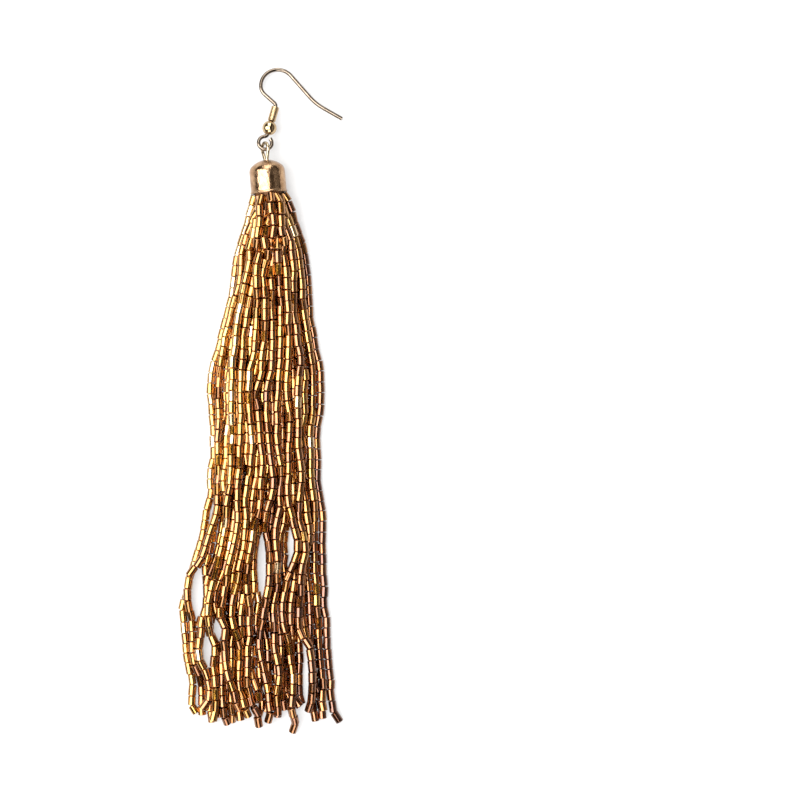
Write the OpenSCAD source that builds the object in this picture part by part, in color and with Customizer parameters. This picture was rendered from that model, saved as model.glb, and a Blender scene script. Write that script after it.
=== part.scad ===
// Tassel earring lying flat: a bent ear wire with a coil and a ball, a wire eye, a domed cap,
// and a fringe of tube-bead strands that spreads from the mouth of the cap.
// X runs across the fringe, +Y runs from the fringe up to the hook, +Z is up from the surface.

/* [Ear hook] */
// Diameter of the ear wire
wire_d = 0.8; // [0.6:0.05:1]
// Straight rise from the coil to the back of the arch
rise_len = 2.65; // [2:0.05:4]
// Radius of the back of the arch
arch_back_r = 2.55; // [2:0.05:4]
// Radius of the arch over the ear
arch_front_r = 3.65; // [3:0.05:4.5]
// Straight slope from the arch to the tail bend
slope_len = 6; // [4:0.1:9]
// Radius of the tail bend
tail_bend_r = 11; // [6:0.5:16]
// Straight tail that goes through the ear first
tail_len = 4.4; // [3:0.1:8]
// Radius of the bend where the shank turns into the rise
kink_r = 0.8; // [0.6:0.05:1.2]
// Direction of the shank, in degrees from the right
shank_angle = 74.5; // [60:0.5:90]
// Direction of the rise, in degrees from the right
rise_angle = 138.5; // [130:0.5:150]
// Direction of the slope, in degrees below the right
slope_angle = 49; // [40:0.5:55]
// Direction of the tail, in degrees below the right
tail_angle = 29; // [20:0.5:35]
// Middle radius of the small loop under the ball
loop_r = 1.4; // [1.2:0.05:2]
// Radius of the bend that leads the shank into the loop
loop_bend_r = 0.8; // [0.6:0.05:1.2]
// Angle left open between the end of the loop and the shank
loop_open_angle = 32; // [25:1:60]
// Swell of the wire where one stretch meets the next
wire_swell = 0.015; // [0.01:0.005:0.03]

/* [Coil and ball] */
// Outer diameter of the coil
coil_d = 1.7; // [1.5:0.05:2.2]
// Length of the coil
coil_len = 3.2; // [2:0.1:5]
// Number of turns in the coil
coil_turns = 10; // [6:1:16]
// Diameter of the ball
ball_d = 3.05; // [2.4:0.05:4]
// Gap all round between the ear wire and what is threaded on it
thread_fit = 0.05; // [0.03:0.01:0.1]
// Gap along the wire between neighbours
stack_gap = 0.05; // [0.03:0.01:0.2]

/* [Cap] */
// Outer diameter of the cap
cap_d = 7.5; // [6.5:0.1:10]
// Height of the cap
cap_h = 7; // [6:0.1:10]
// Height of its domed crown
dome_h = 2.5; // [2:0.1:3]
// Radius of the crown's middle
crown_r = 4.8; // [4.5:0.1:6]
// Wall of the cap
cap_wall = 0.4; // [0.3:0.05:0.6]
// Diameter of the rolled rim's bead
rim_d = 0.5; // [0.3:0.05:0.8]
// How far the rim's bead stands out of the wall
rim_proud = 0.15; // [0.05:0.05:0.25]
// How far the cap leans from the fringe's line, in degrees
cap_lean = 5; // [0:1:10]

/* [Cap eye] */
// Diameter of the eye's wire
eye_wire_d = 0.7; // [0.5:0.05:0.8]
// Middle radius of the eye's ring
eye_r = 1.2; // [1.1:0.05:1.8]
// Height of the ring's middle above the crown
eye_rise = 2.35; // [2.2:0.05:4]
// Turn of the eye about the cap's axis, in degrees from flat, with its right side up
eye_turn = 55; // [45:1:70]
// Gap between the eye's two legs
leg_gap = 0.1; // [0.05:0.01:0.2]
// Gap between the legs and the hole in the crown
eye_fit = 0.12; // [0.08:0.01:0.3]
// Slack left along the two linked loops
link_slack = 0.6; // [0.4:0.05:0.8]
// How far the hook's loop sags below the middle of the eye
link_sag = 0.2; // [0:0.05:0.4]
// Direction from the eye to the hook's loop, in degrees from the right
link_angle = 90; // [80:1:100]

/* [Fringe] */
// Length from the mouth of the cap to the lowest bead
fringe_l = 114; // [60:1:160]
// Width where the fringe is widest
fringe_w = 31.4; // [24:0.2:40]
// Thickness of the lying fringe, layers on each other
fringe_t = 5.4; // [5:0.1:7]
// Diameter of one strand of beads
strand_d = 1.76; // [1.4:0.02:2]
// Sideways wander of a strand from its lane
wander = 0.15; // [0:0.05:0.3]
// Gap between the head of the fringe and the cap's wall
head_fit = 0.12; // [0.08:0.01:0.2]
// How far the head reaches up inside the cap
head_h = 3.6; // [2:0.1:3.8]
// How far the head stands out of the mouth
head_proud = 0.5; // [0.3:0.05:0.8]

/* [Hidden] */
round_fn = 32;

// Fringe sections, a row for each place down the fringe.
// place: share of fringe_l from the mouth; drift: sideways share of fringe_w
// flare: 0 as wide as the cap, 1 as wide as fringe_w; flat: 0 as deep as the cap, 1 as fringe_t
// laid: 0 round about the cap's axis, 1 lying on the surface
// [place, drift, flare, flat, laid]
SECTIONS = [
    [0.00,  0.000, 0.00,  0.00, 0.0],
    [0.02,  0.012, 0.03,  0.00, 0.0],
    [0.04,  0.013, 0.09, -0.08, 0.2],
    [0.07,  0.009, 0.18,  0.05, 0.6],
    [0.12,  0.010, 0.33,  0.30, 1.0],
    [0.22, -0.006, 0.49,  0.62, 1.0],
    [0.29, -0.017, 0.61,  0.75, 1.0],
    [0.36, -0.031, 0.68,  0.85, 1.0],
    [0.52, -0.027, 0.69,  0.90, 1.0],
    [0.60, -0.044, 0.75,  0.95, 1.0],
    [0.65, -0.064, 0.81,  1.00, 1.0],
    [0.74, -0.098, 0.97,  1.00, 1.0],
    [0.79, -0.103, 1.00,  1.00, 1.0],
    [0.90, -0.060, 0.95,  1.00, 1.0],
    [0.96, -0.048, 1.00,  1.00, 1.0],
    [1.00, -0.048, 1.00,  1.00, 1.0]
];

// Places down the fringe where each strand's lane is given, as shares of fringe_l
LANE_AT = [0, 0.12, 0.22, 0.36, 0.52, 0.65, 0.74, 0.82, 0.90, 1];
// Places down the fringe where each strand's height is given, as shares of fringe_l
LEVEL_AT = [0, 0.12, 0.36, 0.74, 1];

// Strands from left to right, a row for each.
// lanes: -1 at the left edge of the fringe, 1 at the right edge, at each place of LANE_AT after the mouth
// levels: 0 on the surface, 1 on top of the fringe, at each place of LEVEL_AT after the mouth
// reach: where the strand ends, as a share of fringe_l
// [[neck, shoulder, middle, low, slit, fork, knot, tail, end], [neck, middle, fork, end], reach]
STRANDS = [
    [[-1.00, -1.00, -1.00, -1.00, -1.00, -1.00, -1.00, -1.00, -0.99], [0.5, 0.0, 0.0, 0.0], 0.962],
    [[-0.90, -0.92, -0.92, -0.92, -0.92, -0.94, -0.93, -0.93, -0.91], [0.9, 0.4, 0.4, 0.4], 0.964],
    [[-0.82, -0.84, -0.84, -0.84, -0.85, -0.83, -0.86, -0.86, -0.83], [0.0, 0.0, 0.0, 0.0], 0.978],
    [[-0.74, -0.76, -0.77, -0.77, -0.78, -0.76, -0.81, -0.80, -0.76], [0.5, 0.5, 0.5, 0.5], 0.955],
    [[-0.66, -0.69, -0.70, -0.70, -0.70, -0.70, -0.73, -0.74, -0.70], [1.0, 1.0, 1.0, 1.0], 0.974],
    [[-0.60, -0.62, -0.63, -0.63, -0.63, -0.64, -0.62, -0.67, -0.65], [0.0, 0.0, 0.0, 0.0], 0.968],
    [[-0.54, -0.55, -0.57, -0.56, -0.56, -0.58, -0.57, -0.61, -0.59], [0.5, 0.5, 0.5, 0.5], 0.982],
    [[-0.48, -0.49, -0.50, -0.50, -0.50, -0.51, -0.50, -0.49, -0.26], [1.0, 1.0, 1.0, 1.4], 0.972],
    [[-0.42, -0.43, -0.44, -0.43, -0.44, -0.45, -0.44, -0.53, -0.51], [0.0, 0.0, 0.0, 0.0], 0.956],
    [[-0.36, -0.37, -0.38, -0.37, -0.38, -0.39, -0.38, -0.46, -0.44], [0.5, 0.5, 0.5, 0.5], 0.978],
    [[-0.29, -0.30, -0.31, -0.30, -0.31, -0.32, -0.31, -0.34, -0.13], [1.0, 1.0, 1.0, 1.4], 0.966],
    [[-0.23, -0.24, -0.26, -0.25, -0.27, -0.27, -0.26, -0.38, -0.37], [0.0, 0.0, 0.0, 0.0], 0.950],
    [[-0.17, -0.18, -0.20, -0.19, -0.21, -0.21, -0.19, -0.29, -0.31], [0.5, 0.5, 0.5, 0.5], 0.975],
    [[-0.10, -0.10, -0.11, -0.10, -0.14, -0.14, -0.12, -0.14, -0.06], [1.0, 1.0, 1.0, 1.0], 0.985],
    [[-0.03, -0.02, -0.03, -0.02, -0.07, -0.07, -0.05, -0.09, -0.12], [0.5, 0.5, 0.5, 0.5], 0.958],
    [[ 0.03,  0.03,  0.03,  0.03, -0.01, -0.01,  0.01, -0.02, -0.01], [0.0, 0.0, 0.0, 0.0], 0.972],
    [[ 0.10,  0.10,  0.10,  0.10,  0.15,  0.12,  0.10,  0.10,  0.10], [1.0, 1.0, 1.0, 1.0], 0.976],
    [[ 0.17,  0.17,  0.17,  0.17,  0.20,  0.18,  0.17,  0.16,  0.16], [0.5, 0.5, 0.5, 0.5], 0.960],
    [[ 0.23,  0.23,  0.24,  0.23,  0.25,  0.24,  0.23,  0.22,  0.21], [0.0, 0.0, 0.0, 0.0], 0.968],
    [[ 0.30,  0.30,  0.31,  0.30,  0.31,  0.31,  0.30,  0.29,  0.28], [1.0, 1.0, 1.0, 1.0], 0.963],
    [[ 0.36,  0.37,  0.38,  0.37,  0.36,  0.38,  0.37,  0.35,  0.34], [0.5, 0.5, 0.5, 0.5], 0.952],
    [[ 0.42,  0.43,  0.44,  0.43,  0.41,  0.44,  0.43,  0.41,  0.40], [0.0, 0.0, 0.0, 0.0], 0.957],
    [[ 0.48,  0.49,  0.50,  0.50,  0.59,  0.51,  0.50,  0.48,  0.52], [1.0, 1.0, 1.0, 1.0], 1.000],
    [[ 0.54,  0.55,  0.57,  0.56,  0.64,  0.57,  0.56,  0.53,  0.51], [0.5, 0.5, 0.5, 0.5], 0.950],
    [[ 0.60,  0.62,  0.63,  0.63,  0.69,  0.63,  0.62,  0.59,  0.58], [0.0, 0.0, 0.0, 0.0], 0.944],
    [[ 0.66,  0.69,  0.70,  0.70,  0.74,  0.70,  0.71,  0.76,  0.75], [1.0, 1.0, 1.0, 1.0], 0.958],
    [[ 0.74,  0.76,  0.77,  0.77,  0.80,  0.77,  0.78,  0.82,  0.81], [0.5, 0.5, 0.5, 0.5], 0.976],
    [[ 0.82,  0.84,  0.84,  0.84,  0.86,  0.84,  0.85,  0.87,  0.87], [0.0, 0.0, 0.0, 0.0], 0.970],
    [[ 0.90,  0.92,  0.92,  0.92,  0.93,  0.93,  0.93,  0.94,  0.94], [0.9, 0.4, 0.4, 0.4], 0.956],
    [[ 1.00,  1.00,  1.00,  1.00,  1.00,  1.00,  1.00,  1.00,  1.00], [0.5, 0.0, 0.0, 0.0], 0.980]
];
PLACE = 0;
DRIFT = 1;
FLARE = 2;
FLAT = 3;
LAID = 4;
LANES = 0;
LEVELS = 1;
REACH = 2;

// Strand tubes, each with a corner on top, so that flat sides of neighbours don't meet face to face
strand_r = strand_d / 2;
tube_sides = 6;
ring_step = 7;
// Neck, where the strands are still one bundle, as shares of fringe_l
neck_at = [0.012, 0.03, 0.05, 0.075, 0.105, 0.145, 0.165];
neck_end = 0.19;
// How far the neck covers the top strands, and how far its end is drawn in between them
neck_cover = 0.12;
neck_draw = 1;
// Flutes of the neck, one for each strand on top of the bundle
flutes = 10;
flute_depth = 0.3;
flute_steps = 4;
// Root of each strand inside the neck, and how far above the neck's end it starts, as a share of fringe_l
root_at = 0.015;
root_l = 1;
root_r = 0.8 * strand_r;
// Waves in the wander of a strand, and the shift from one strand to the next in degrees
wander_waves = 4.3;
wander_phase = 137.5;

// Cap
cap_r = cap_d / 2;
bore_r = cap_r - cap_wall;
rim_r = cap_r + rim_proud;
cap_axis_z = rim_r;
shoulder_r = (crown_r ^ 2 - cap_r ^ 2 - (crown_r - dome_h) ^ 2) / (2 * (crown_r - cap_r));
crown_y = cap_h - crown_r;
shoulder_x = cap_r - shoulder_r;
shoulder_y = cap_h - dome_h;
shoulder_dir = [shoulder_x, shoulder_y - crown_y] / norm([shoulder_x, shoulder_y - crown_y]);

// Eye, measured up the cap's axis from the mouth
leg_x = (eye_wire_d + leg_gap) / 2;
leg_reach = norm([leg_x, eye_rise]);
leg_tangent = acos(eye_r / leg_reach) - atan2(eye_rise, leg_x);
crown_hole_r = leg_x + eye_wire_d / 2 + eye_fit;
leg_foot = head_h + stack_gap;

// Head of the fringe, and the throat that the neck starts from
head_r = bore_r - head_fit;
throat_r = 0.9 * head_r;

// Hook, drawn flat with the middle of its small loop at the origin
wire_r = wire_d / 2;
// Turn of each knuckle about the wire, which keeps its seam off the wire's
knuckle_turn = 45;
loop_drop = sqrt(loop_r ^ 2 + 2 * loop_r * loop_bend_r);
loop_bend = atan2(loop_drop, loop_bend_r);
ball_at = loop_r + wire_r + stack_gap + ball_d / 2;
coil_at = ball_at + ball_d / 2 + stack_gap;
shank_top = coil_at + coil_len + stack_gap;
shank_dir = [cos(shank_angle), sin(shank_angle)];
// One step for each stretch of wire: [turn, size], where a turn of 0 is a straight of that length,
// and any other turn is an arc of that radius, left if positive
HOOK_STEPS = [
    [rise_angle - shank_angle, kink_r],
    [0, rise_len],
    [90 - rise_angle, arch_back_r],
    [-90 - slope_angle, arch_front_r],
    [0, slope_len],
    [slope_angle - tail_angle, tail_bend_r],
    [0, tail_len]
];
ARCH_STEP = 3;
TIP_STEP = len(HOOK_STEPS);
hook_start = [shank_top * shank_dir[0], shank_top * shank_dir[1], shank_angle];
arch_start = pose_at(hook_start, HOOK_STEPS, ARCH_STEP);
tail_tip = pose_at(hook_start, HOOK_STEPS, TIP_STEP);
arch_middle = turn_centre(arch_start, HOOK_STEPS[ARCH_STEP]);

// The hook lies on the crest of its arch and on the tip of its tail, and leans on the eye
tip_to_arch = [arch_middle[0] - tail_tip[0], arch_middle[1] - tail_tip[1]];
rest_angle = atan2(tip_to_arch[1], tip_to_arch[0]) - asin(arch_front_r / norm(tip_to_arch));
rest_dir = [cos(rest_angle), sin(rest_angle), 0];
rest_point = [tail_tip[0], tail_tip[1], 0];
loop_side = abs(rest_dir[0] * rest_point[1] - rest_dir[1] * rest_point[0]);
rest_tilt = asin((cap_axis_z - link_sag - wire_r) / loop_side);

// Where the two small loops meet
eye_up = cap_h + eye_rise;
eye_mid = [-eye_up * sin(cap_lean), eye_up * cos(cap_lean)];
link_span = loop_r + eye_r - (wire_d + eye_wire_d) / 2 - link_slack;
loop_mid = [eye_mid[0] + link_span * cos(link_angle), eye_mid[1] + link_span * sin(link_angle)];
loop_lean = leaned([0, 0, 0]);
hook_shift = [loop_mid[0] - loop_lean[0], loop_mid[1] - loop_lean[1], wire_r];

// Middle of the whole earring, seen from above
strand_ends = [for (i = [0:len(STRANDS) - 1]) for (p = strand_path(i)) p];
left_end = min([for (p = strand_ends) p[0]]) - strand_r;
fringe_right = max([for (p = strand_ends) p[0]]) + strand_r;
low_end = min([for (p = strand_ends) p[1]]);
tip_place = leaned([tail_tip[0], tail_tip[1], 0]);
crest_place = leaned([arch_middle[0], arch_middle[1] + arch_front_r + wire_r, 0]);
right_end = max(tip_place[0] + hook_shift[0] + wire_r / 2, fringe_right);
high_end = crest_place[1] + hook_shift[1];
middle = [(left_end + right_end) / 2, (low_end + high_end) / 2];

// Point that a flat hook point comes to when the hook leans on the eye
function leaned(p) =
    let (
        v = p - rest_point,
        along = v * rest_dir,
        side = v - along * rest_dir,
        lift = norm(side) * sin(rest_tilt)
    )
    rest_point + along * rest_dir + side * cos(rest_tilt) + [0, 0, lift];

// Centre of the arc that a step turns about, from the pose [x, y, heading] where it starts
function turn_centre(pose, step) =
    let (a = pose[2] + (step[0] > 0 ? 90 : -90))
    [pose[0] + step[1] * cos(a), pose[1] + step[1] * sin(a)];

// Pose [x, y, heading] at the end of one step of wire
function next_pose(pose, step) =
    step[0] == 0
        ? [pose[0] + step[1] * cos(pose[2]), pose[1] + step[1] * sin(pose[2]), pose[2]]
        : let (c = turn_centre(pose, step), a = pose[2] + step[0] + (step[0] > 0 ? -90 : 90))
          [c[0] + step[1] * cos(a), c[1] + step[1] * sin(a), pose[2] + step[0]];

// Pose after the first n steps
function pose_at(pose, steps, n) =
    n == 0 ? pose : next_pose(pose_at(pose, steps, n - 1), steps[n - 1]);

// Index of the stretch of keys that holds t
function stretch_of(t, keys) =
    min(len(keys) - 2, max(0, len([for (k = keys) if (k <= t) k]) - 1));

// Slope of the smooth curve through vals at key i
function slope_of(i, keys, vals) =
    i == 0 || i == len(keys) - 1
        ? 0
        : (vals[i + 1] - vals[i - 1]) / (keys[i + 1] - keys[i - 1]);

// Smooth curve through vals, which are given at keys
function smooth(t, keys, vals) =
    let (
        i = stretch_of(t, keys),
        w = keys[i + 1] - keys[i],
        s = (t - keys[i]) / w
    )
    (2 * s ^ 3 - 3 * s ^ 2 + 1) * vals[i]
    + (s ^ 3 - 2 * s ^ 2 + s) * w * slope_of(i, keys, vals)
    + (3 * s ^ 2 - 2 * s ^ 3) * vals[i + 1]
    + (s ^ 3 - s ^ 2) * w * slope_of(i + 1, keys, vals);

// Value of one column of SECTIONS at a place down the fringe
function section_at(t, column) =
    smooth(t, [for (s = SECTIONS) s[PLACE]], [for (s = SECTIONS) s[column]]);

// A strand keeps its neck's lane and level up to the mouth
function with_mouth(vals) = concat([vals[0]], vals);

// Middle of a strand on a lane and a level, at a place down the fringe, from the mouth of the cap
function lane_point(lane, level, t) =
    let (
        half_w = cap_r + section_at(t, FLARE) * (fringe_w / 2 - cap_r),
        depth = cap_d + section_at(t, FLAT) * (fringe_t - cap_d),
        laid = min(1, section_at(t, LAID)),
        bulge = sqrt(max(0, 1 - lane ^ 2)),
        pile = sqrt(max(0, 1 - lane ^ 4)),
        round_z = cap_axis_z + (2 * level - 1) * (depth / 2 - strand_r) * bulge,
        laid_z = strand_r + level * (depth - strand_d) * pile
    )
    [
        section_at(t, DRIFT) * fringe_w + lane * (half_w - strand_r),
        -t * fringe_l,
        round_z + laid * (laid_z - round_z)
    ];

// Middle of strand i at a place down the fringe, with its sway between its neighbours
function strand_point(i, t) =
    let (
        lane = smooth(t, LANE_AT, with_mouth(STRANDS[i][LANES])),
        level = smooth(t, LEVEL_AT, with_mouth(STRANDS[i][LEVELS])),
        sway = wander * (1 - abs(lane)) * sin(360 * wander_waves * t + wander_phase * i)
    )
    lane_point(lane, level, t) + [sway, 0, 0];

// Middles of the rings of strand i, from inside the neck to its end
function strand_path(i) =
    let (
        a = neck_end - root_at,
        b = STRANDS[i][REACH],
        n = max(2, round((b - a) * fringe_l / ring_step))
    )
    [for (k = [0:n]) strand_point(i, a + (b - a) * k / n)];

// Ring of points about the middle c, in a plane across the fringe
function ring(c, r) =
    [for (j = [0:tube_sides - 1]) let (a = 360 * (j + 0.5) / tube_sides) c + r * [cos(a), 0, sin(a)]];

// Outline of the neck at a place down the fringe, over the top strands and back under the lowest
function neck_ring(t, draw) =
    let (steps = flutes * flute_steps)
    [
        for (level = [1, 0]) for (k = [0:steps - 1])
            let (
                lane = (2 * level - 1) * (1 - 2 * k / steps),
                side = [lane, 0, (2 * level - 1) * sqrt(1 - lane ^ 2)],
                flute = flute_depth * (1 - abs(cos(90 * flutes * (lane + 1 / flutes))))
            )
            lane_point(lane, level, t) + (strand_r + level * neck_cover - flute - draw) * side
    ];

// Closed skin through rings of points
module skin(rings) {
    n = len(rings[0]);
    m = len(rings);
    points = [for (r = rings) each r];
    sides = [
        for (k = [0:m - 2]) for (j = [0:n - 1])
            let (a = k * n + j, b = k * n + (j + 1) % n)
            each [[a, a + n, b + n], [a, b + n, b]]
    ];
    start_face = [for (j = [0:n - 1]) j];
    end_face = [for (j = [n - 1:-1:0]) (m - 1) * n + j];
    polyhedron(points = points, faces = concat([start_face], sides, [end_face]));
}

// Neck of the fringe: from inside the head to where the strands come free
module neck() {
    steps = 2 * flutes * flute_steps;
    throat = [
        for (k = [0:steps - 1])
            [throat_r * cos(360 * k / steps), -head_proud / 2, cap_axis_z + throat_r * sin(360 * k / steps)]
    ];
    skin(concat([throat], [for (t = neck_at) neck_ring(t, 0)], [neck_ring(neck_end, neck_draw)]));
}

// Root of strand i, inside the neck, with the strand's first ring as its end
module root(i) {
    first = strand_path(i)[0];
    hull() {
        skin([ring(first + [0, root_l, 0], root_r), ring(first + [0, root_l / 2, 0], root_r)]);
        skin([ring(first + [0, root_l / 4, 0], strand_r), ring(first, strand_r)]);
    }
}

// Places its children so that their +Z runs up the cap's axis from the mouth
module on_cap_axis() {
    translate([0, 0, cap_axis_z]) rotate([0, 0, cap_lean]) rotate([-90, 0, 0]) children();
}

// Puts the middle of the whole earring at the origin
module centred() {
    translate([-middle[0], -middle[1], 0]) children();
}

// One stretch of round wire that starts at a pose, with the knuckle that joins it to the one before
module wire_step(pose, step, d) {
    translate([pose[0], pose[1], 0]) rotate([0, 90, pose[2]]) {
        rotate(knuckle_turn) sphere(d = d + 2 * wire_swell, $fn = round_fn);
        if (step[0] == 0)
            cylinder(h = step[1], d = d, $fn = round_fn);
    }
    if (step[0] != 0) {
        c = turn_centre(pose, step);
        from = pose[2] + (step[0] > 0 ? -90 : 90 + step[0]);
        translate([c[0], c[1], 0]) rotate([0, 0, from])
            rotate_extrude(angle = abs(step[0]), $fn = 4 * round_fn)
                translate([step[1], 0]) circle(d = d, $fn = round_fn);
    }
}

// Leans the flat hook on the eye, with its arch and its tail on the surface
module hook_at_rest() {
    translate(hook_shift) translate(rest_point)
        rotate(a = rest_tilt, v = rest_dir)
            translate(-rest_point) children();
}

// Places its children so that their +Z runs up the shank
module on_shank() {
    hook_at_rest() rotate([0, 90, shank_angle]) children();
}

module ear_hook() {
    loop_start = [loop_drop * shank_dir[0], loop_drop * shank_dir[1], shank_angle + 180];
    loop_steps = [[-loop_bend, loop_bend_r], [360 - (90 - loop_bend) - loop_open_angle, loop_r]];
    color("silver") centred() hook_at_rest() {
        wire_step(loop_start, loop_steps[0], wire_d);
        wire_step(pose_at(loop_start, loop_steps, 1), loop_steps[1], wire_d);
        wire_step([loop_start[0], loop_start[1], shank_angle], [0, shank_top - loop_drop], wire_d);
        for (k = [0:TIP_STEP - 1])
            wire_step(pose_at(hook_start, HOOK_STEPS, k), HOOK_STEPS[k], wire_d);
    }
}

module hook_coil() {
    hole_r = wire_r + thread_fit;
    coil_wire_r = (coil_d / 2 - hole_r) / 2;
    pitch = (coil_len - 2 * coil_wire_r) / (coil_turns - 1);
    color("palegoldenrod") centred() on_shank() rotate_extrude($fn = 2 * round_fn) {
        for (k = [0:coil_turns - 1])
            translate([hole_r + coil_wire_r, coil_at + coil_wire_r + k * pitch])
                circle(r = coil_wire_r, $fn = round_fn);
        translate([hole_r + coil_wire_r / 2, coil_at + coil_wire_r])
            square([coil_wire_r, coil_len - 2 * coil_wire_r]);
    }
}

module hook_ball() {
    color("palegoldenrod") centred() on_shank() translate([0, 0, ball_at]) difference() {
        sphere(d = ball_d, $fn = 2 * round_fn);
        cylinder(h = 2 * ball_d, r = wire_r + thread_fit, center = true, $fn = round_fn);
    }
}

module cap_eye() {
    ring_start = [eye_r * cos(leg_tangent), eye_up + eye_r * sin(leg_tangent), leg_tangent + 90];
    ring_arc = [180 - 2 * leg_tangent, eye_r];
    leg_len = sqrt(leg_reach ^ 2 - eye_r ^ 2);
    color("gold") centred() on_cap_axis() rotate([0, 0, -eye_turn]) rotate([90, 0, 0]) {
        wire_step(ring_start, ring_arc, eye_wire_d);
        for (side = [0, 1]) mirror([side, 0, 0]) {
            wire_step([ring_start[0], ring_start[1], leg_tangent - 90], [0, leg_len], eye_wire_d);
            wire_step([leg_x, cap_h, -90], [0, cap_h - leg_foot], eye_wire_d);
        }
    }
}

// Half outline of the cap, drawn in by the given inset
module cap_outline(inset) {
    meet = [shoulder_x, shoulder_y] + (shoulder_r - inset) * shoulder_dir;
    intersection() {
        square([cap_r - inset, cap_h - inset]);
        union() {
            square([cap_r - inset, shoulder_y]);
            translate([shoulder_x, shoulder_y]) circle(r = shoulder_r - inset, $fn = 2 * round_fn);
            polygon([[0, 0], [shoulder_x, shoulder_y], meet, [0, meet[1]]]);
            intersection() {
                translate([0, crown_y]) circle(r = crown_r - inset, $fn = 4 * round_fn);
                translate([0, meet[1]]) square([meet[0], cap_h]);
            }
        }
    }
}

module tassel_cap() {
    color("darkkhaki") centred() on_cap_axis() rotate_extrude($fn = 4 * round_fn) difference() {
        union() {
            cap_outline(0);
            translate([rim_r - rim_d / 2, rim_d / 2]) circle(d = rim_d, $fn = round_fn);
        }
        cap_outline(cap_wall);
        square([crown_hole_r, cap_h + 1]);
    }
}

module bead_tassel() {
    color("goldenrod") centred() {
        on_cap_axis() translate([0, 0, -head_proud])
            cylinder(h = head_h + head_proud, r = head_r, $fn = 24);
        neck();
        for (i = [0:len(STRANDS) - 1]) {
            root(i);
            skin([for (c = strand_path(i)) ring(c, strand_r)]);
        }
    }
}

ear_hook();
hook_coil();
hook_ball();
cap_eye();
tassel_cap();
bead_tassel();
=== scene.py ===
# %% [markdown]
# # A beaded tassel earring
# A bent ear wire, a coil and a ball, a wire eye, a metal cap, and a fringe of thirty strands of
# amber-gold tube beads that lies spread out on a pale surface, seen from straight above.
# The metal pieces come ready made in the frame and only get their finishes here.
# The fringe is in the frame as a plain solid of smooth tubes, so its beads and threads are made here.

# %% Load the frame
import math

import bpy
import numpy as np
from mathutils import Euler, Matrix, Vector, kdtree


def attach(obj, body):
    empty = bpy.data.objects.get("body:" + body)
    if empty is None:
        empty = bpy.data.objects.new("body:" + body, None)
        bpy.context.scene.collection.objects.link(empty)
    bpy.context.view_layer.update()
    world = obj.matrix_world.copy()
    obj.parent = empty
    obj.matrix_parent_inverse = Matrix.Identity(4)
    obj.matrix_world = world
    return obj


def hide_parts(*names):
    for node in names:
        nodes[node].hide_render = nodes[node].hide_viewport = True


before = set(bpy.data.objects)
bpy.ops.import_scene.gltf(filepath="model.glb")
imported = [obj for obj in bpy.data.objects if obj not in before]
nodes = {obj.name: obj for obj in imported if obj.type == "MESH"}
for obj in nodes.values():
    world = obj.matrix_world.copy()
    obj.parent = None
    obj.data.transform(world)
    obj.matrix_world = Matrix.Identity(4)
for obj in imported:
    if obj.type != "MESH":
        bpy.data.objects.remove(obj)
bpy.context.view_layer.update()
MM = 0.001

# %% [markdown]
# ## The lie of the fringe
# Each strand keeps its own lane between the left and the right edge of the fringe, and its own
# height between the surface and the top of the pile. Both change a little on the way down, and
# short tables with smooth curves between their rows hold that. The same tables shape the solid,
# so the beads lie where the solid is. A free drawing of thirty curves would be harder to change.

# %% Sizes of the cap and the fringe, in millimetres
CAP_D = 7.5
CAP_AXIS_Z = 3.9
CAP_LEAN = math.radians(5)
FRINGE_L = 114
FRINGE_W = 31.4
FRINGE_T = 5.4
STRAND_D = 1.76
STRAND_R = STRAND_D / 2
# Length that a bead takes up on its thread
PITCH = 2.25
# Place on the surface below the middle of the cap's mouth, where the fringe starts
MOUTH = np.array([1.784, 43.639, 0.0])
print("fringe:", FRINGE_L, "mm long,", FRINGE_W, "mm wide,", FRINGE_T, "mm thick")

# %% Sections, a row for each place down the fringe
# place: share of the length; drift: how far the middle moves sideways, as a share of the width
# flare: 0 as wide as the cap, 1 as wide as the fringe; flat: 0 as deep as the cap, 1 as the fringe
# laid: 0 round about the cap's axis, 1 lying on the surface
# [place, drift, flare, flat, laid]
SECTIONS = np.array([
    [0.00, 0.000, 0.00, 0.00, 0.0],
    [0.02, 0.012, 0.03, 0.00, 0.0],
    [0.04, 0.013, 0.09, -0.08, 0.2],
    [0.07, 0.009, 0.18, 0.05, 0.6],
    [0.12, 0.010, 0.33, 0.30, 1.0],
    [0.22, -0.006, 0.49, 0.62, 1.0],
    [0.29, -0.017, 0.61, 0.75, 1.0],
    [0.36, -0.031, 0.68, 0.85, 1.0],
    [0.52, -0.027, 0.69, 0.90, 1.0],
    [0.60, -0.044, 0.75, 0.95, 1.0],
    [0.65, -0.064, 0.81, 1.00, 1.0],
    [0.74, -0.098, 0.97, 1.00, 1.0],
    [0.79, -0.103, 1.00, 1.00, 1.0],
    [0.90, -0.060, 0.95, 1.00, 1.0],
    [0.96, -0.048, 1.00, 1.00, 1.0],
    [1.00, -0.048, 1.00, 1.00, 1.0],
])
PLACE, DRIFT, FLARE, FLAT, LAID = range(5)
# Places down the fringe at which the strands' lanes and levels are given below
LANE_AT = [0, 0.12, 0.22, 0.36, 0.52, 0.65, 0.74, 0.82, 0.90, 1]
LEVEL_AT = [0, 0.12, 0.36, 0.74, 1]
print("sections:", len(SECTIONS))

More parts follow.
